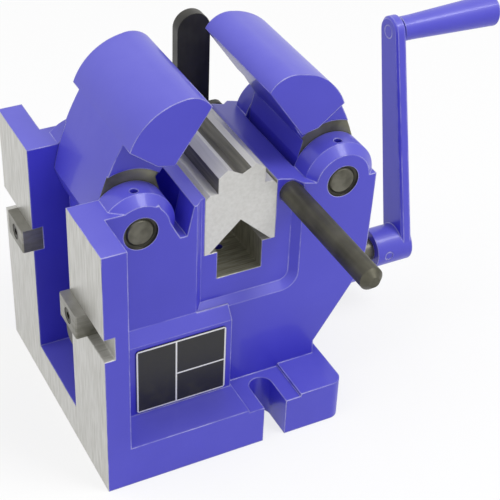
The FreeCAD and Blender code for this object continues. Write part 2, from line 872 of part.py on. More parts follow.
# Cross screw with its collars, nuts and bearings
def make_screw():
    radius = screw_diameter / 2
    journal = journal_diameter / 2
    collar = collar_diameter / 2
    inner = bearing_thickness / 2 + collar_clearance
    outer = inner + collar_thickness
    spindle = spindle_diameter / 2
    end = hub_right - screw_chamfer
    screw = turned("screw", [
        (-screw_left_end, 0),
        (end, 0),
        (end, spindle - screw_chamfer),
        (end - screw_chamfer, spindle),
        (thread_right_end, spindle),
        (thread_right_end, radius),
        (outer, radius),
        (outer, collar),
        (inner, collar),
        (inner, journal),
        (-inner, journal),
        (-inner, collar),
        (-outer, collar),
        (-outer, radius),
        (screw_chamfer - screw_left_end, radius),
        (-screw_left_end, radius - screw_chamfer),
    ], 0, 0, screw_height)
    hole = crank_pin_hole("screw_pin_hole")
    finish(cut("drilled_screw", screw, [hole]), "cross_screw")


def crank_pin_hole(name):
    """The cross hole for the crank pin."""
    reach = crank_hub_radius + overcut
    return round_hole(name, "y", -reach, reach, (crank_pin_x, screw_height), crank_pin_diameter)


def make_nuts():
    half = nut_length / 2
    wide = nut_width / 2
    tall = nut_height / 2
    reach = tail_width / 2
    for side, sign in (("left", -1), ("right", 1)):
        x = sign * nut_x
        block = new_body(side + "_nut_block")
        profile = [
            (nut_edge - wide, screw_height - tall),
            (wide - nut_edge, screw_height - tall),
            (wide, screw_height - tall + nut_edge),
            (wide, screw_height + tall - nut_edge),
            (wide - nut_edge, screw_height + tall),
            (nut_edge - wide, screw_height + tall),
            (-wide, screw_height + tall - nut_edge),
            (-wide, screw_height - tall + nut_edge),
        ]
        pad(block, side + "_nut_section", "x", x - half, x + half, profile)
        centre = (x, screw_height)
        trunnion = rod(side + "_trunnion", "y", -reach, reach, centre, trunnion_diameter / 2)
        joined = fuse(side + "_nut_joined", [block, trunnion])
        bore = round_hole(side + "_nut_bore", "x", x - nut_length, x + nut_length, (0, screw_height),
                          screw_diameter + thread_clearance * 2)
        finish(cut(side + "_nut_cut", joined, [bore]), side + "_nut")


def make_bearings():
    thick = bearing_thickness / 2
    wide = bearing_width / 2
    limits = {
        "centre_bearing_base": (pedestal_height, screw_height),
        "centre_bearing_cap": (screw_height, bearing_cap_top),
    }
    bore = journal_diameter + thread_clearance * 2
    for node, (low, high) in limits.items():
        block = box(node + "_block", (-thick, thick), (-wide, wide), (low, high))
        through = (-bearing_thickness, bearing_thickness)
        tools = [round_hole(node + "_bore", "x", *through, (0, screw_height), bore)]
        for face, sign in (("front", -1), ("back", 1)):
            centre = (0, sign * cap_screw_spacing / 2)
            tools.append(round_hole(node + "_" + face + "_hole", "z", low - overcut, high + overcut, centre,
                                    cap_screw_diameter + head_clearance))
        finish(cut(node + "_cut", block, tools), node)
    screws = []
    for face, sign in (("front", -1), ("back", 1)):
        centre = (0, sign * cap_screw_spacing / 2)
        screws.append(cap_screw(face + "_cap_screw", "z", pedestal_height - cap_screw_grip, bearing_cap_top,
                                bearing_cap_top + cap_screw_diameter, centre, cap_screw_diameter,
                                cap_screw_diameter * 5 / 3))
    group("cap_screws", screws, "bearing_cap_screws")

    left = housing_right - housing_wall
    bush = turned("bush", [
        (left, spindle_diameter / 2 + thread_clearance / 2),
        (bearing_boss_right + bush_flange_thickness, spindle_diameter / 2 + thread_clearance / 2),
        (bearing_boss_right + bush_flange_thickness, bush_flange / 2),
        (bearing_boss_right, bush_flange / 2),
        (bearing_boss_right, bush_outer / 2),
        (left, bush_outer / 2),
    ], 0, 0, screw_height)
    finish(bush, "screw_bush")


# Crank and revolving grip
def make_crank():
    crank = new_body("crank")
    lean = (sine(crank_lean), cosine(crank_lean))
    side = (cosine(crank_lean), -sine(crank_lean))

    def arm_point(radius, offset):
        return (lean[0] * radius + side[0] * offset, screw_height + lean[1] * radius + side[1] * offset)

    plate = hub_right - arm_thickness
    root_half = arm_root_width / 2
    taper = (root_half - eye_radius) / crank_throw
    slope = root(1 - taper * taper)
    arm = pad(crank, "crank_plate", "x", plate, hub_right, [
        arm_point(root_half * taper, root_half * slope),
        arm_point(crank_throw + eye_radius * taper, eye_radius * slope) + (eye_radius,),
        arm_point(crank_throw + eye_radius * taper, -eye_radius * slope),
        arm_point(root_half * taper, -root_half * slope),
    ])
    doc.recompute()

    def soft_edge(edge, middle, along):
        flat_end = abs(middle.x - hub_right.value) < 0.01 or abs(middle.x - plate.value) < 0.01
        return flat_end and middle.z > (screw_height + crank_hub_radius).value

    chamfer(crank, "crank_bevel", arm, edges_where(crank.Shape, soft_edge), crank_edge)
    pad(crank, "crank_hub", "x", hub_left, hub_right, circle=((0, screw_height), crank_hub_radius))
    pocket(crank, "crank_bore", "x", hub_left - overcut, hub_right + overcut,
           circle=((0, screw_height), spindle_diameter / 2))
    pocket(crank, "eye_bore", "x", hub_left - overcut, hub_right + overcut,
           circle=(arm_point(crank_throw, 0), grip_spindle_diameter / 2))
    drilled = cut("crank_drilled", crank, [crank_pin_hole("crank_pin_bore")])
    finish(drilled, "crank_arm")

    reach = root(crank_hub_radius * crank_hub_radius - crank_pin_diameter * crank_pin_diameter / 4)
    pin = rod("crank_cross_pin", "y", -reach, reach, (crank_pin_x, screw_height), crank_pin_diameter / 2)
    finish(pin, "crank_pin")

    axis_y, axis_z = arm_point(crank_throw, 0)
    start = hub_right + grip_gap
    end = start + grip_length
    bore = grip_spindle_diameter / 2 + grip_bore_clearance
    head_room = grip_head_diameter / 2 + grip_bore_clearance
    floor = end - grip_head_pocket
    grip = turned("grip_body", [
        (start, bore),
        (start, grip_neck / 2),
        (start + grip_neck / 2, grip_neck / 2),
        (end - grip_edge, grip_end / 2),
        (end, grip_end / 2 - grip_edge),
        (end, head_room),
        (floor, head_room),
        (floor, bore),
    ], 0, axis_y, axis_z)
    finish(grip, "crank_grip")
    head_start = floor + side_clearance
    spindle = turned("spindle_body", [
        (plate, 0),
        (head_start + grip_head_height, 0),
        (head_start + grip_head_height, grip_head_diameter / 2),
        (head_start, grip_head_diameter / 2),
        (head_start, grip_spindle_diameter / 2),
        (plate, grip_spindle_diameter / 2),
    ], 0, axis_y, axis_z)
    finish(spindle, "grip_spindle")


# Tenon keys on the end face
def make_keys():
    screws = []
    low = key_centre - key_height / 2
    high = key_centre + key_height / 2
    outer_face = end_face - key_proud
    head_floor = outer_face + key_head_height + head_clearance
    for face, sign in (("front", -1), ("back", 1)):
        ends = ordered(sign * half_recess, sign * (half_recess + key_length))
        block = new_body(face + "_key_block")
        bevel = key_edge
        pad(block, face + "_key_outline", "z", low, high, [
            (outer_face, ends[0] + bevel),
            (outer_face + bevel, ends[0]),
            (end_face + key_depth, ends[0]),
            (end_face + key_depth, ends[1]),
            (outer_face + bevel, ends[1]),
            (outer_face, ends[1] - bevel),
        ])
        centre = (sign * (half_recess + key_length / 2), key_centre)
        head_room = key_head_diameter + head_clearance * 2
        tools = [
            round_hole(face + "_key_head_hole", "x", outer_face - overcut, head_floor, centre, head_room),
            round_hole(face + "_key_hole", "x", outer_face, end_face + key_depth + overcut, centre,
                       key_thread_diameter + head_clearance),
        ]
        finish(cut(face + "_key_cut", block, tools), face + "_tenon")
        tip = end_face + key_depth + key_thread_length - 1
        top = head_floor - key_head_height
        screws.append(cap_screw(face + "_key_screw", "x", tip, head_floor, top, centre,
                                key_thread_diameter, key_head_diameter))
    group("key_screws", screws, "tenon_screws")


# Work stop
def make_stop():
    near = half_wall + stop_gap
    foot_far = near + stop_foot_thickness
    shoulder = half_wall - panel_depth
    radius = rod_diameter / 2
    tail = rod_tail_diameter / 2
    stop_rod = turned("stop_rod_body", [
        (-foot_far, 0),
        (rod_front, 0),
        (rod_front, radius - rod_dome),
        (rod_front - rod_dome, radius),
        (-shoulder, radius),
        (-shoulder, tail),
        (-foot_far, tail),
    ], rod_x, 0, rod_height, ALONG_Y)
    finish(stop_rod, "stop_rod")

    half = stop_width / 2
    left = stop_centre - half
    right = stop_centre + half
    bottom = rod_height - half
    arm = new_body("stop_arm_body")
    pad(arm, "stop_plate", "y", near, near + stop_thickness, [
        (left, rod_height, half),
        (stop_centre, bottom, half),
        (right, rod_height),
        (right, stop_top - half, half),
        (stop_centre, stop_top, half),
        (left, stop_top - half),
    ])
    round_off = stop_foot_radius
    pad(arm, "stop_foot", "y", near, foot_far, [
        (stop_centre, bottom),
        (rod_x, bottom, round_off),
        (rod_x + round_off, bottom + round_off),
        (rod_x + round_off, rod_height, round_off),
        (rod_x, rod_height + round_off),
        (stop_centre, rod_height + round_off),
    ])
    pocket(arm, "stop_bore", "y", near - overcut, foot_far + overcut,
           circle=((rod_x, rod_height), tail + rod_clearance))
    centre = (rod_x, (near + foot_far) / 2)
    hole = round_hole("stop_screw_hole", "z", bottom - overcut, rod_height, centre, stop_screw_diameter)
    finish(cut("stop_arm_cut", arm, [hole]), "stop_arm")
    tip = rod_height - tail - rod_clearance
    screw = rod("stop_grub", "z", tip - stop_screw_length, tip, centre, stop_screw_diameter / 2)
    finish(screw, "stop_arm_screw")


# Plain plate on the front name pad
def make_plate():
    right = plate_length - plate_left
    top = plate_low + plate_tall
    corner = plate_corner
    plate = new_body("plate")
    pad(plate, "plate_outline", "y", -name_pad_face - plate_thickness, -name_pad_face, [
        (-plate_left + corner, plate_low),
        (right - corner, plate_low, corner),
        (right, plate_low + corner),
        (right, top - corner, corner),
        (right - corner, top),
        (-plate_left + corner, top, corner),
        (-plate_left, top - corner),
        (-plate_left, plate_low + corner, corner),
    ])
    finish(plate, "name_plate")


make_casting()
make_vee_block()
make_jaw("left", -1)
make_jaw("right", 1)
make_pins()
make_screw()
make_nuts()
make_bearings()
make_crank()
make_keys()
make_stop()
make_plate()
doc.recompute()

failed = [thing.Label for thing in doc.Objects if "Invalid" in thing.State or "Error" in thing.State]
if failed:
    raise RuntimeError("objects not computed: " + ", ".join(failed))
os.makedirs("parts", exist_ok=True)
for node, thing in pieces.items():
    shape = thing.Shape
    if shape.isNull() or not shape.isValid():
        raise RuntimeError("bad shape: " + node)
    shape.exportStep("parts/" + node + ".step")
    print(node, len(shape.Solids), round(shape.Volume))
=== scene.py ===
"""Looks and studio for a self-centering shaft vise, laid out as a Blender add-on."""

import math

import bpy
from mathutils import Matrix, Vector


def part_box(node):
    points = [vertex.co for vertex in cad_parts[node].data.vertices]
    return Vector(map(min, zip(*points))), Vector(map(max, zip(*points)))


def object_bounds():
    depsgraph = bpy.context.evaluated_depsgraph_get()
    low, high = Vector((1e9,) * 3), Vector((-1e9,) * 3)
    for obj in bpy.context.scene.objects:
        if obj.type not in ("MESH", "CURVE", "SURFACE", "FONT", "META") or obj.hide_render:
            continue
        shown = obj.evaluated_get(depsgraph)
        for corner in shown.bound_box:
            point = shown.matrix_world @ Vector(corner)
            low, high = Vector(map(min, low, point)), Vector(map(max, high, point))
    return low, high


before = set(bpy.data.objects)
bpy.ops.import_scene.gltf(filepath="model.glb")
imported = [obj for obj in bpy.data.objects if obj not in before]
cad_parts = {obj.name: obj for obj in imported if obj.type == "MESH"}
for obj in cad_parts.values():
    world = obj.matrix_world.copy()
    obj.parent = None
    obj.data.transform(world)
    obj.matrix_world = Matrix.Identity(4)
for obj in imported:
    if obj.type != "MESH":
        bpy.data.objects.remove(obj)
cad_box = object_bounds()

bl_info = {
    "name": "Shaft Vise Looks",
    "version": (1, 0, 0),
    "blender": (4, 5, 0),
    "location": "View3D > Sidebar > Vise",
    "description": "Enamel, ground steel and a studio for a self-centering shaft vise",
    "category": "Object",
}

MM = 0.001


def middle(node):
    """Centre of a CAD node's box."""
    low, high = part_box(node)
    return (low + high) / 2


# Sizes and colours that a user would change

def shade(name, words, default):
    """A colour property."""
    return bpy.props.FloatVectorProperty(
        name=name, description=words, default=default, size=4, min=0, max=1, subtype="COLOR")


def share(name, words, default):
    """A number from zero to one."""
    return bpy.props.FloatProperty(
        name=name, description=words, default=default, min=0, max=1, subtype="FACTOR")


def length(name, words, default):
    """A length in metres."""
    return bpy.props.FloatProperty(name=name, description=words, default=default, min=0, unit="LENGTH")


def angle(name, words, degrees):
    """An angle, given in degrees."""
    return bpy.props.FloatProperty(
        name=name, description=words, default=math.radians(degrees), subtype="ANGLE")


def watts(name, words, default):
    """The power of a lamp."""
    return bpy.props.FloatProperty(name=name, description=words, default=default, min=0)


class ViseFinish(bpy.types.PropertyGroup):
    """Colours and surface values of the vise's finishes."""

    enamel: shade("Enamel", "Blue enamel on castings", (0.052, 0.046, 0.56, 1))
    enamel_deep: shade("Deep enamel", "Enamel where it lies thick", (0.034, 0.029, 0.47, 1))
    # Lighter enamel for faces that look up: painted top light.
    enamel_top_light: shade("Top-lit enamel", "Enamel lightened on faces that look up, as painted top light", (0.17, 0.165, 0.60, 1))
    top_light_share: share("Top light share", "How much painted top light lightens faces that look up", 0.5)
    # Pale colour for thin lines along the edges: painted highlights.
    enamel_edge_highlight: shade("Edge highlight", "Painted highlight along the edges", (0.72, 0.71, 0.97, 1))
    edge_highlight_share: share("Edge highlight share", "How bright the edges are", 0.75)
    enamel_roughness: share("Enamel roughness", "Roughness below the gloss", 0.42)
    enamel_coat: share("Enamel gloss", "Weight of the gloss coat", 0.28)
    coat_roughness: share("Gloss roughness", "Roughness of the gloss coat", 0.1)
    orange_peel: length("Orange peel", "Height of the enamel's ripple", 0.00003)
    cast_wave: length("Cast wave", "Height of the casting's unevenness below the paint", 0.0005)
    edge_radius: length("Edge radius", "Softness of painted edges", 0.0016)
    ground_steel: shade("Ground steel", "Ground faces", (0.62, 0.615, 0.59, 1))
    ground_streak: shade("Grinding streak", "Darker lines on ground faces", (0.50, 0.495, 0.46, 1))
    ground_roughness: share("Ground roughness", "Roughness of ground faces", 0.4)
    block_steel: shade("V-block steel", "Ground faces of the V-block", (0.66, 0.655, 0.63, 1))
    block_streak: shade("V-block streak", "Darker lines on the V-block", (0.585, 0.58, 0.55, 1))
    ring_steel: shade("Ring steel", "Faced ring round each pin", (0.24, 0.235, 0.16, 1))
    ring_dull: shade("Dull ring", "Darker patches of the ring", (0.10, 0.098, 0.065, 1))
    # Bare machined iron inside the casting, made darker than the ground faces as painted shade for the
    # hollows.
    shaded_cast_face: shade("Dull cast face", "Machined faces inside the casting", (0.46, 0.45, 0.37, 1))
    shaded_cast_film: shade("Dull cast film", "Darker patches inside the casting", (0.26, 0.253, 0.195, 1))
    dark_steel: shade("Dark steel", "Oiled machined steel", (0.16, 0.155, 0.125, 1))
    dark_film: shade("Oil film", "Darker film on machined steel", (0.07, 0.067, 0.052, 1))
    dark_roughness: share("Dark steel roughness", "Roughness of machined steel", 0.45)
    key_steel: shade("Key steel", "Ground faces of the keys", (0.36, 0.355, 0.33, 1))
    rod_steel: shade("Rod steel", "Oiled rod of the stop", (0.12, 0.115, 0.085, 1))
    rod_film: shade("Rod film", "Darker film on the rod", (0.05, 0.048, 0.036, 1))
    black: shade("Black finish", "Blackened steel of the stop", (0.022, 0.021, 0.018, 1))
    black_worn: shade("Worn black", "Rubbed places of the black finish", (0.06, 0.058, 0.048, 1))
    black_roughness: share("Black roughness", "Roughness of the black finish", 0.42)
    bronze: shade("Bronze", "Nuts and bush", (0.52, 0.34, 0.14, 1))
    bronze_dull: shade("Dull bronze", "Tarnished bronze", (0.34, 0.21, 0.08, 1))
    iron: shade("Iron", "Machined iron of the screw bearing", (0.17, 0.17, 0.165, 1))
    iron_dull: shade("Dull iron", "Darker iron", (0.09, 0.09, 0.088, 1))
    plate_field: shade("Plate field", "Black of the plate", (0.014, 0.014, 0.012, 1))
    plate_line: shade("Plate line", "White of the plate's lines", (0.78, 0.78, 0.76, 1))


class ViseStudio(bpy.types.PropertyGroup):
    """Camera, lamps and floor."""

    camera_place: bpy.props.FloatVectorProperty(
        name="Camera place", description="Where the camera stands", default=(-0.3265, -0.6659, 0.6495),
        size=3, subtype="XYZ", unit="LENGTH")
    azimuth: angle("Azimuth", "Turn of the view about the vertical", 28.42)
    elevation: angle("Elevation", "How far the camera looks down", 36.56)
    roll: angle("Roll", "Turn of the picture", 2.52)
    lens: bpy.props.FloatProperty(name="Lens", description="Focal length in mm", default=100.3, min=10)
    floor: shade("Floor", "Pale floor", (0.9, 0.9, 0.9, 1))
    backdrop: share("Backdrop", "Share of plain white that the camera sees in the floor", 0.75)
    sky: share("Sky", "Light from all round", 0.58)
    key_power: watts("Key lamp", "Power of the main lamp in watts", 20)
    top_power: watts("Top lamp", "Power of the soft lamp overhead in watts", 8.5)
    fill_power: watts("Fill lamp", "Power of the soft lamp on the left in watts", 2)


# Shader maths

class Value:
    """A shader socket that takes part in Python expressions."""

    def __init__(self, net, socket):
        self.net = net
        self.socket = socket

    def math(self, operation, *others):
        """A Math node on this value and any others."""
        return self.net.node("ShaderNodeMath", {"operation": operation}, dict(enumerate((self,) + others)))

    def __add__(self, other):
        return self.math("ADD", other)

    def __sub__(self, other):
        return self.math("SUBTRACT", other)

    def __mul__(self, other):
        return self.math("MULTIPLY", other)

    def __truediv__(self, other):
        return self.math("DIVIDE", other)

    def __rsub__(self, other):
        return self.net.node("ShaderNodeMath", {"operation": "SUBTRACT"}, {0: other, 1: self})

    def __rtruediv__(self, other):
        return self.net.node("ShaderNodeMath", {"operation": "DIVIDE"}, {0: other, 1: self})

    __radd__ = __add__
    __rmul__ = __mul__

    def __abs__(self):
        return self.math("ABSOLUTE")

    def __lt__(self, other):
        return self.math("LESS_THAN", other)

    def __gt__(self, other):
        return self.math("GREATER_THAN", other)

    def either(self, other):
        """The greater of two values, which joins two masks."""
        return self.math("MAXIMUM", other)


class Net:
    """A node tree, with short ways to add to it."""

    def __init__(self, tree):
        self.tree = tree
        tree.nodes.clear()

    def node(self, kind, settings, inputs, output=0):
        """Add a node, set it up, then fill or link its inputs."""
        made = self.tree.nodes.new(kind)
        for key, setting in settings.items():
            setattr(made, key, setting)
        for key, given in inputs.items():
            if isinstance(given, Value):
                self.tree.links.new(given.socket, made.inputs[key])
            else:
                made.inputs[key].default_value = given
        return Value(self, made.outputs[output]) if made.outputs else made

    def seen(self):
        """One for rays that show the background: from the camera, a glossy face or glass."""
        camera, glossy, glass = (
            self.node("ShaderNodeLightPath", {}, {}, "Is " + kind + " Ray")
            for kind in ("Camera", "Glossy", "Transmission"))
        return camera.either(glossy).either(glass)


class Surface(Net):
    """A material with one Principled shader."""

    def __init__(self, name):
        self.material = bpy.data.materials.new(name)
        self.material.use_nodes = True
        super().__init__(self.material.node_tree)
        self.place = self.node("ShaderNodeTexCoord", {}, {}, "Object")
        parts = self.node("ShaderNodeSeparateXYZ", {}, {0: self.place})
        self.x, self.y, self.z = (Value(self, one) for one in parts.socket.node.outputs)

    def facing(self, axis):
        """How far the surface looks along an axis of the piece."""
        normal = self.node("ShaderNodeTexCoord", {}, {}, "Normal")
        return self.node("ShaderNodeSeparateXYZ", {}, {0: normal}, axis)

    def noise(self, scale, detail=3, stretch=(1, 1, 1)):
        """Noise over the piece, longer along the axes with a small stretch factor."""
        place = self.node("ShaderNodeVectorMath", {"operation": "MULTIPLY"}, {0: self.place, 1: stretch})
        return self.node("ShaderNodeTexNoise", {}, {"Vector": place, "Scale": scale, "Detail": detail})

    def spread(self, value, low, high):
        """Stretch a value's range from low..high to zero..one, and clamp it."""
        limits = {"Value": value, "From Min": low, "From Max": high}
        return self.node("ShaderNodeMapRange", {"clamp": True}, limits)

    def colours(self, factor, first, second):
        """Blend two colours."""
        return self.node("ShaderNodeMix", {"data_type": "RGBA"}, {0: factor, 6: first, 7: second}, 2)

    def bump(self, height, normal=None):
        """Relief whose height is in metres."""
        inputs = {"Height": height, "Distance": 1.0, "Strength": 1.0}
        if normal:
            inputs["Normal"] = normal
        return self.node("ShaderNodeBump", {}, inputs)

    def soft_edges(self, radius, samples=6):
        """The normal, rounded over the edges."""
        return self.node("ShaderNodeBevel", {"samples": samples}, {"Radius": radius})

    def edges(self, radius):
        """Up to one along an edge, where the softened normal leaves the face's own."""
        own = self.node("ShaderNodeNewGeometry", {}, {}, "Normal")
        both = {0: self.soft_edges(radius), 1: own}
        alike = self.node("ShaderNodeVectorMath", {"operation": "DOT_PRODUCT"}, both, "Value")
        return self.spread(1 - alike, EDGE_FIRST, EDGE_FULL)

    def inside(self, value, low, high):
        """One where a value lies between two limits."""
        return (value > low) * (value < high)

    def near_line(self, first, second, centre, radius):
        """One within a radius of a line along an axis, given the other two coordinates."""
        across = first - centre[0]
        up = second - centre[1]
        return (across * across + up * up) < radius * radius

    def principled(self, inputs):
        """The shader itself; a name with underscores is the socket's with spaces."""
        sockets = {key.replace("_", " "): given for key, given in inputs.items()}
        return self.node("ShaderNodeBsdfPrincipled", {}, sockets)

    def finish(self, **inputs):
        """Send the shader to the output, and hand over the material."""
        self.node("ShaderNodeOutputMaterial", {}, {"Surface": self.principled(inputs)})
        return self.material


def dress(material, slot, *nodes):
    """Give CAD nodes a material."""
    for node in nodes:
        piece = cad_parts[node]
        piece.data.materials.clear()
        piece.data.materials.append(material)


def look():
    """The colours and values that the panel shows."""
    return bpy.context.scene.vise_finish


# Finishes: a pattern's size is about one metre divided by its scale

EDGE_FIRST = 0.01
EDGE_FULL = 0.12
CLOUD_SCALE = 16
CLOUD_RANGE = (0.35, 0.7)
CLOUD_SHARE = 0.55
CLOUD_IN_TOP_LIGHT = 0.3
HILL_SCALE = 34
RIPPLE_SCALE = 420
HIGHLIGHT_BREAK_SCALE = 60
HIGHLIGHT_BREAK_RANGE = (0.3, 0.6)
GRAIN_SCALE = 900
GRAIN_ROUGHNESS = 0.06
STREAK_SCALE = 60
STREAK_RANGE = (0.35, 0.65)
STREAK_ROUGHNESS = 0.2
FINE_ALONG_Y = (1, 14, 1)
BARE_METAL = 0.75


def enamel(name, bare=None, wave=1.0):
    """Glossy blue enamel, lightened on faces that look up as painted top light and along edges as painted
    highlights, with bare metal where masks say so: each has a lighter and a darker colour.
    """
    net = Surface(name)
    finish = look()
    cloud = net.spread(net.noise(CLOUD_SCALE, 4), *CLOUD_RANGE)
    ripple = net.noise(RIPPLE_SCALE, 2)
    hills = net.noise(HILL_SCALE, 2)
    # Faces that look up are blended towards the lighter enamel: painted top light.
    film = net.spread(net.facing("Z"), 0, 1) * finish.top_light_share * (1 - cloud * CLOUD_IN_TOP_LIGHT)
    highlight_breaks = net.spread(net.noise(HIGHLIGHT_BREAK_SCALE, 3), *HIGHLIGHT_BREAK_RANGE)
    paint = net.colours(cloud * CLOUD_SHARE, finish.enamel, finish.enamel_deep)
    paint = net.colours(film, paint, finish.enamel_top_light)
    # Thin pale lines along every edge, broken by noise: painted highlights.
    paint = net.colours(net.edges(EDGE_HIGHLIGHT_WIDTH) * highlight_breaks * finish.edge_highlight_share, paint, finish.enamel_edge_highlight)
    height = hills * (finish.cast_wave * wave) + ripple * finish.orange_peel
    relief = net.bump(height, net.soft_edges(finish.edge_radius))
    gloss = finish.enamel_roughness + (net.noise(GRAIN_SCALE, 2) - 0.5) * GRAIN_ROUGHNESS
    if not bare:
        return net.finish(Base_Color=paint, Roughness=gloss, Coat_Weight=finish.enamel_coat,
                          Coat_Roughness=finish.coat_roughness, Normal=relief)
    streak = net.noise(STREAK_SCALE, 4, FINE_ALONG_Y)
    colour = paint
    metal = 0
    for mask, light, dark in bare(net):
        colour = net.colours(mask, colour, net.colours(net.spread(streak, *STREAK_RANGE), light, dark))
        metal = mask.either(metal)
    rough = gloss * (1 - metal) + metal * (finish.ground_roughness + (streak - 0.5) * STREAK_ROUGHNESS)
    return net.finish(Base_Color=colour, Roughness=rough, Metallic=metal * BARE_METAL,
                      Coat_Weight=(1 - metal) * finish.enamel_coat, Coat_Roughness=finish.coat_roughness,
                      Normal=relief)


EDGE_HIGHLIGHT_WIDTH = 1.3 * MM
PIN_RECESS = 11.05 * MM
CHANNEL_HALF = 15.5 * MM
CHANNEL_FLOOR = 114 * MM
ROD_BORE = 7.6 * MM
SPOT_FACE = 33 * MM
SPOT_HALF = 33.2 * MM
SKIN = 0.1 * MM


def casting_bare(net):
    """Ground and bored places of the casting, with painted shade in the channel, the rod's bore and round the
    pins.
    """
    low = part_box("body_casting")[0]
    vee_low, vee_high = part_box("v_block")
    key_low, key_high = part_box("front_tenon")
    rod = middle("stop_rod")
    pin = middle("right_pivot_pin")
    side = abs(net.x)
    end_face = net.x < low.x + SKIN
    key_slots = (net.x < key_high.x + SKIN) * net.inside(net.z, key_low.z - SKIN, key_high.z + SKIN)
    pocket = (side < vee_high.x + 2 * SKIN) * (net.z > vee_low.z - SKIN)
    # Bare iron in the channel under the V-block and in the rod's bore, darkened as painted shade.
    channel = (side < CHANNEL_HALF + SKIN) * net.inside(net.z, CHANNEL_FLOOR - SKIN, vee_low.z - SKIN)
    stop = net.near_line(net.x, net.z, (rod.x, rod.z), ROD_BORE)
    # A near-black ring round each pin in its recess: painted shade in the gap.
    pin_gap_shade = net.near_line(side, net.z, (pin.x, pin.z), PIN_RECESS)
    underside = net.z < low.z + SKIN
    finish = look()
    ground = end_face.either(key_slots).either(pocket).either(underside)
    return [(ground, finish.ground_steel, finish.ground_streak),
            (channel.either(stop), finish.shaded_cast_face, finish.shaded_cast_film),
            (pin_gap_shade, finish.dark_film, finish.black)]


def jaw_bare(side):
    """The faced ring round a jaw's pin."""
    def masks(net):
        pin = middle(side + "_pivot_pin")
        ring = net.near_line(net.x, net.z, (pin.x, pin.z), SPOT_FACE)
        faced = net.inside(abs(net.y), SPOT_HALF - 2 * SKIN, SPOT_HALF)
        return [(ring * faced, look().ring_steel, look().ring_dull)]
    return masks


def spindle_bare(net):
    """All of the grip's spindle but the end that is painted over with the arm."""
    return [(net.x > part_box("grip_spindle")[0].x + SKIN, look().dark_steel, look().dark_film)]


TOOL_MARK = 0.03 * MM
MARK_RANGE = (0.3, 0.7)
MARK_SHARE = 0.4
MARK_ROUGHNESS = 0.25
BLOTCH_SCALE = 45
BLOTCH_RANGE = (0.38, 0.66)
BLOTCH_SHARE = 0.6
FINE_EDGE = 0.3 * MM


def machined(name, colour, film, roughness, stretch=(1, 1, 1), scale=60, metallic=0.9, edge=FINE_EDGE):
    """Bare metal with fine tool marks and a darker film."""
    net = Surface(name)
    marks = net.noise(scale, 4, stretch)
    blotch = net.spread(net.noise(BLOTCH_SCALE, 3), *BLOTCH_RANGE)
    shade_of_marks = net.spread(marks, *MARK_RANGE) * MARK_SHARE
    shine = net.colours(blotch * BLOTCH_SHARE + shade_of_marks, colour, film)
    relief = net.bump(marks * TOOL_MARK, net.soft_edges(edge, 4))
    return net.finish(Base_Color=shine, Roughness=roughness + (marks - 0.5) * MARK_ROUGHNESS,
                      Metallic=metallic, Normal=relief)


RING_PITCH = 0.6 * MM
RING_DEPTH = 0.012 * MM
RING_SHARE = 0.1
OILED_METAL = 0.85
PIN_BLOTCH_SCALE = 120
PIN_BLOTCH_RANGE = (0.35, 0.68)
PIN_BLOTCH_SHARE = 0.7
PIN_BLOTCH_ROUGHNESS = 0.15
PIN_EDGE = 0.5 * MM


def turned_face(name, colour, film, roughness, centre, plane):
    """Bare metal with turning rings about an axis through a centre."""
    net = Surface(name)
    coordinates = {"x": net.x, "y": net.y, "z": net.z}
    first, second = (coordinates[one] - getattr(centre, one) for one in plane)
    radius = (first * first + second * second).math("SQRT")
    rings = (radius * (2 * math.pi / RING_PITCH)).math("SINE")
    blotch = net.spread(net.noise(PIN_BLOTCH_SCALE, 3), *PIN_BLOTCH_RANGE)
    shine = net.colours(blotch * PIN_BLOTCH_SHARE + rings * RING_SHARE, colour, film)
    relief = net.bump(rings * RING_DEPTH, net.soft_edges(PIN_EDGE, 4))
    return net.finish(Base_Color=shine, Roughness=roughness + (blotch - 0.5) * PIN_BLOTCH_ROUGHNESS,
                      Metallic=OILED_METAL, Normal=relief)


SCREW_JOURNAL = 14 * MM
THREAD_END = 73 * MM
THREAD_PITCH = 5 * MM
THREAD_DEPTH = 1.6 * MM
GRIME_SCALE = 90
GRIME_RANGE = (0.35, 0.7)
GRIME_SHARE = 0.5
GRIME_ROUGHNESS = 0.2
ROOT_SHADE_SHARE = 0.5


def threaded(name, colour, film, roughness, axis):
    """Screw thread drawn as a helix: left-handed on the left, right-handed on the right."""
    net = Surface(name)
    turn = (net.z - axis.z).math("ARCTAN2", net.y - axis.y) / (2 * math.pi)
    phase = (net.x / THREAD_PITCH - turn * net.x.math("SIGN")).math("FRACT")
    tooth = abs(phase - 0.5) * 2
    cut = net.inside(abs(net.x), SCREW_JOURNAL, THREAD_END)
    grime = net.spread(net.noise(GRIME_SCALE, 3), *GRIME_RANGE)
    # Darker towards the thread's root: painted shade in the groove.
    shine = net.colours(grime * GRIME_SHARE + (1 - tooth) * cut * ROOT_SHADE_SHARE, colour, film)
    relief = net.bump(tooth * cut * THREAD_DEPTH)
    return net.finish(Base_Color=shine, Roughness=roughness + (grime - 0.5) * GRIME_ROUGHNESS,
                      Metallic=OILED_METAL, Normal=relief)


PLATE_BORDER = 1.1 * MM
PLATE_SPLIT = 0.44
PLATE_LEVEL = 0.47
PLATE_RELIEF = 0.05 * MM
PLATE_ROUGHNESS = 0.45
SCUFF_SCALE = 140
SCUFF_RANGE = (0.5, 0.75)
SCUFF_SHARE = 0.3
SCUFF_ROUGHNESS = 0.2


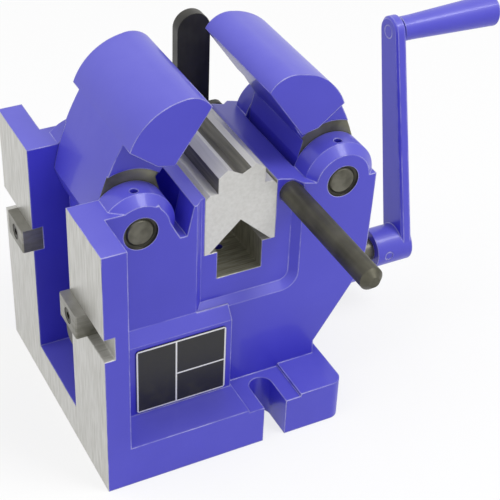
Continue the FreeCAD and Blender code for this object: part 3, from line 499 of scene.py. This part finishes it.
def plate_face(name):
    """Black plate with a white border and two white dividers."""
    net = Surface(name)
    finish = look()
    low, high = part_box("name_plate")
    border = PLATE_BORDER
    across = abs(net.x - (low.x + high.x) / 2) > (high.x - low.x) / 2 - border
    upright = abs(net.z - (low.z + high.z) / 2) > (high.z - low.z) / 2 - border
    split_x = low.x + (high.x - low.x) * PLATE_SPLIT
    split_z = low.z + (high.z - low.z) * PLATE_LEVEL
    divider = net.inside(net.x, split_x - border / 2, split_x + border / 2)
    level = net.inside(net.z, split_z - border / 2, split_z + border / 2) * (net.x > split_x)
    face = net.y < low.y + SKIN
    line = across.either(upright).either(divider).either(level) * face
    scuff = net.spread(net.noise(SCUFF_SCALE, 4), *SCUFF_RANGE)
    field = net.colours(scuff * SCUFF_SHARE, finish.plate_field, finish.black_worn)
    colour = net.colours(line, field, finish.plate_line)
    relief = net.bump(line * PLATE_RELIEF, net.soft_edges(FINE_EDGE, 4))
    return net.finish(Base_Color=colour, Roughness=PLATE_ROUGHNESS + scuff * SCUFF_ROUGHNESS, Normal=relief)


SHADED_FACING = 0.9
GROOVE_HALF = 6.5 * MM
GROOVE_SHALLOW = 1.8 * MM
GROOVE_DEEP = 5.5 * MM
BLOCK_STRETCH = (8, 0.5, 8)
BLOCK_METAL = 0.2


def ground_block(name):
    """Ground steel of the V-block, with painted shade: darker on faces that look along x and on the groove's
    faces on top.
    """
    net = Surface(name)
    finish = look()
    streak = net.noise(STREAK_SCALE, 4, BLOCK_STRETCH)
    contrast = net.spread(streak, *MARK_RANGE)
    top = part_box("v_block")[1].z
    groove = (abs(net.x) < GROOVE_HALF) * net.inside(net.z, top - GROOVE_DEEP, top - GROOVE_SHALLOW)
    # Faces that look along x and the groove's faces get the darker steel: painted shade.
    shaded_faces = (abs(net.facing("X")) > SHADED_FACING).either(groove * (abs(net.facing("Y")) < SHADED_FACING))
    ground = net.colours(contrast, finish.block_steel, finish.block_streak)
    shaded_colour = net.colours(contrast, finish.dark_steel, finish.dark_film)
    relief = net.bump(streak * TOOL_MARK, net.soft_edges(FINE_EDGE))
    return net.finish(Base_Color=net.colours(shaded_faces, ground, shaded_colour), Metallic=BLOCK_METAL,
                      Roughness=finish.ground_roughness + (streak - 0.5) * MARK_ROUGHNESS, Normal=relief)


# Operators, one for each piece or group of like pieces

class VISE_OT_casting(bpy.types.Operator):
    """Paint the casting and leave its ground faces bare"""

    bl_idname = "vise.casting"
    bl_label = "Casting"

    def execute(self, context):
        dress(enamel("CastingEnamel", casting_bare), "blue_paint", "body_casting")
        return {"FINISHED"}


class VISE_OT_jaws(bpy.types.Operator):
    """Paint the jaws, with a faced ring round each pin"""

    bl_idname = "vise.jaws"
    bl_label = "Jaws"

    def execute(self, context):
        for side in ("left", "right"):
            dress(enamel(side.title() + "JawEnamel", jaw_bare(side)), "jaw_paint", side + "_jaw")
        return {"FINISHED"}


class VISE_OT_vee_block(bpy.types.Operator):
    """Ground steel of the V-block"""

    bl_idname = "vise.vee_block"
    bl_label = "V-block"

    def execute(self, context):
        dress(ground_block("GroundSteel"), "ground_steel", "v_block")
        return {"FINISHED"}


class VISE_OT_pins(bpy.types.Operator):
    """Turned pivot pins and the small screws that lock them"""

    bl_idname = "vise.pins"
    bl_label = "Pivot pins"

    def execute(self, context):
        finish = look()
        for side in ("left", "right"):
            node = side + "_pivot_pin"
            material = turned_face(side.title() + "PinSteel", finish.dark_steel, finish.dark_film,
                                   finish.dark_roughness, middle(node), "xz")
            dress(material, "dark_steel", node)
        black = machined("BlackScrews", finish.dark_film, finish.black, finish.dark_roughness)
        dress(black, "screw_steel", "left_pin_lock_screw", "right_pin_lock_screw", "bearing_cap_screws",
              "tenon_screws", "stop_arm_screw")
        return {"FINISHED"}


class VISE_OT_screw(bpy.types.Operator):
    """Cross screw with its two threads"""

    bl_idname = "vise.screw"
    bl_label = "Cross screw"

    def execute(self, context):
        finish = look()
        material = threaded("ScrewThread", finish.dark_steel, finish.dark_film, finish.dark_roughness,
                            middle("cross_screw"))
        dress(material, "dark_steel", "cross_screw")
        return {"FINISHED"}


class VISE_OT_nuts(bpy.types.Operator):
    """Bronze nuts and bush"""

    bl_idname = "vise.nuts"
    bl_label = "Nuts and bush"

    def execute(self, context):
        finish = look()
        material = machined("Bronze", finish.bronze, finish.bronze_dull, finish.dark_roughness, (1, 6, 6), 80)
        dress(material, "bronze", "left_nut", "right_nut", "screw_bush")
        return {"FINISHED"}


class VISE_OT_bearing(bpy.types.Operator):
    """Machined iron of the middle bearing"""

    bl_idname = "vise.bearing"
    bl_label = "Middle bearing"

    def execute(self, context):
        finish = look()
        material = machined("BearingIron", finish.iron, finish.iron_dull, finish.dark_roughness,
                            (6, 1, 6), 70)
        dress(material, "iron", "centre_bearing_base", "centre_bearing_cap")
        return {"FINISHED"}


class VISE_OT_crank(bpy.types.Operator):
    """Painted crank and grip, with the pin and the spindle's end painted over"""

    bl_idname = "vise.crank"
    bl_label = "Crank and grip"

    def execute(self, context):
        paint = enamel("CrankEnamel", wave=0.6)
        dress(paint, "crank_paint", "crank_arm", "crank_grip")
        dress(paint, "screw_steel", "crank_pin")
        dress(enamel("SpindleEnd", spindle_bare), "screw_steel", "grip_spindle")
        return {"FINISHED"}


class VISE_OT_tenons(bpy.types.Operator):
    """Keys on the end face"""

    bl_idname = "vise.tenons"
    bl_label = "Tenon keys"

    def execute(self, context):
        finish = look()
        material = machined("KeySteel", finish.key_steel, finish.dark_steel, finish.dark_roughness,
                            (1, 0.6, 7), 70)
        dress(material, "dark_steel", "front_tenon", "back_tenon")
        return {"FINISHED"}


class VISE_OT_stop(bpy.types.Operator):
    """Oiled rod and blackened arm of the work stop"""

    bl_idname = "vise.stop"
    bl_label = "Work stop"

    def execute(self, context):
        finish = look()
        rod = machined("StopRodSteel", finish.rod_steel, finish.rod_film, finish.dark_roughness,
                       (5, 0.4, 5), 50, 0.7)
        dress(rod, "black_steel", "stop_rod")
        arm = machined("StopArmBlack", finish.black, finish.black_worn, finish.black_roughness,
                       (3, 1, 0.6), 60, 0.4, 0.8 * MM)
        dress(arm, "black_steel", "stop_arm")
        return {"FINISHED"}


class VISE_OT_plate(bpy.types.Operator):
    """Black plate with white lines"""

    bl_idname = "vise.plate"
    bl_label = "Plate"

    def execute(self, context):
        dress(plate_face("PlateFace"), "plate", "name_plate")
        return {"FINISHED"}


FLOOR_REACH = 6.0
FLOOR_ROUGHNESS = 0.9
WHITE = (1, 1, 1, 1)
SENSOR = 36


def lay_floor(studio):
    """A pale floor that the camera sees nearly white, with the object's shadow."""
    mesh = bpy.data.meshes.new("StudioFloor")
    corners = [(-FLOOR_REACH, -FLOOR_REACH), (FLOOR_REACH, -FLOOR_REACH),
               (FLOOR_REACH, FLOOR_REACH), (-FLOOR_REACH, FLOOR_REACH)]
    mesh.from_pydata([(x, y, cad_box[0][2]) for x, y in corners], [], [(0, 1, 2, 3)])
    floor = bpy.data.objects.new("StudioFloor", mesh)
    bpy.context.scene.collection.objects.link(floor)
    net = Surface("FloorPaper")
    paper = net.principled({"Base_Color": studio.floor, "Roughness": FLOOR_ROUGHNESS})
    white = net.node("ShaderNodeEmission", {}, {"Color": WHITE, "Strength": 1})
    mixed = net.node("ShaderNodeMixShader", {}, {0: net.seen() * studio.backdrop, 1: paper, 2: white})
    net.node("ShaderNodeOutputMaterial", {}, {"Surface": mixed})
    mesh.materials.append(net.material)


def light_sky(studio):
    """Soft light from all round, and white where the camera sees the sky."""
    world = bpy.data.worlds.new("StudioSky")
    bpy.context.scene.world = world
    world.use_nodes = True
    sky = Net(world.node_tree)
    strength = studio.sky + sky.seen() * (1 - studio.sky)
    light = sky.node("ShaderNodeBackground", {}, {"Color": WHITE, "Strength": strength})
    sky.node("ShaderNodeOutputWorld", {}, {"Surface": light})


def stand_camera(studio):
    """The camera at the photo's angle."""
    data = bpy.data.cameras.new("Camera")
    data.lens = studio.lens
    data.sensor_width = SENSOR
    camera = bpy.data.objects.new("Camera", data)
    cos_a, sin_a = math.cos(studio.azimuth), math.sin(studio.azimuth)
    cos_e, sin_e = math.cos(studio.elevation), math.sin(studio.elevation)
    away = Vector((sin_a * cos_e, cos_a * cos_e, -sin_e))
    right = Matrix.Rotation(studio.roll, 3, -away) @ Vector((cos_a, -sin_a, 0))
    up = right.cross(away)
    rotation = Matrix((right, up, -away)).transposed().to_4x4()
    camera.matrix_world = Matrix.Translation(studio.camera_place) @ rotation
    bpy.context.scene.collection.objects.link(camera)
    bpy.context.scene.camera = camera


def area_lamp(name, place, size, power, glossy):
    """A square lamp that points at the middle of the vise."""
    data = bpy.data.lights.new(name, "AREA")
    data.shape = "SQUARE"
    data.size = size
    data.energy = power
    lamp = bpy.data.objects.new(name, data)
    target = (cad_box[0] + cad_box[1]) / 2
    lamp.location = place
    lamp.rotation_euler = (target - Vector(place)).to_track_quat("-Z", "Y").to_euler()
    lamp.visible_glossy = glossy
    bpy.context.scene.collection.objects.link(lamp)


KEY_PLACE = (0.8, -0.84, 1.87)
KEY_SIZE = 0.8
TOP_PLACE = (-0.9, 0.1, 1.8)
TOP_SIZE = 1.2
FILL_PLACE = (-1.4, -0.5, 0.9)
FILL_SIZE = 1.4


class VISE_OT_studio(bpy.types.Operator):
    """Floor, lamps, world and camera"""

    bl_idname = "vise.studio"
    bl_label = "Studio"

    def execute(self, context):
        context.scene.view_settings.view_transform = "Standard"
        studio = context.scene.vise_studio
        lay_floor(studio)
        light_sky(studio)
        area_lamp("KeyLamp", KEY_PLACE, KEY_SIZE, studio.key_power, True)
        area_lamp("TopLamp", TOP_PLACE, TOP_SIZE, studio.top_power, False)
        area_lamp("FillLamp", FILL_PLACE, FILL_SIZE, studio.fill_power, False)
        stand_camera(studio)
        return {"FINISHED"}


OPERATORS = (
    VISE_OT_casting, VISE_OT_jaws, VISE_OT_vee_block, VISE_OT_pins, VISE_OT_screw, VISE_OT_nuts,
    VISE_OT_bearing, VISE_OT_crank, VISE_OT_tenons, VISE_OT_stop, VISE_OT_plate, VISE_OT_studio,
)


class VISE_PT_looks(bpy.types.Panel):
    """Panel with every step"""

    bl_idname = "VISE_PT_looks"
    bl_label = "Shaft vise"
    bl_space_type = "VIEW_3D"
    bl_region_type = "UI"
    bl_category = "Vise"

    def draw(self, context):
        for operator in OPERATORS:
            self.layout.operator(operator.bl_idname)
        for group in (context.scene.vise_finish, context.scene.vise_studio):
            for key in group.__annotations__:
                self.layout.prop(group, key)


CLASSES = (ViseFinish, ViseStudio) + OPERATORS + (VISE_PT_looks,)


def register():
    for one in CLASSES:
        bpy.utils.register_class(one)
    bpy.types.Scene.vise_finish = bpy.props.PointerProperty(type=ViseFinish)
    bpy.types.Scene.vise_studio = bpy.props.PointerProperty(type=ViseStudio)


def unregister():
    del bpy.types.Scene.vise_studio
    del bpy.types.Scene.vise_finish
    for one in reversed(CLASSES):
        bpy.utils.unregister_class(one)


def main():
    register()
    for operator in OPERATORS:
        group, name = operator.bl_idname.split(".")
        getattr(getattr(bpy.ops, group), name)()


if __name__ == "__main__":
    main()
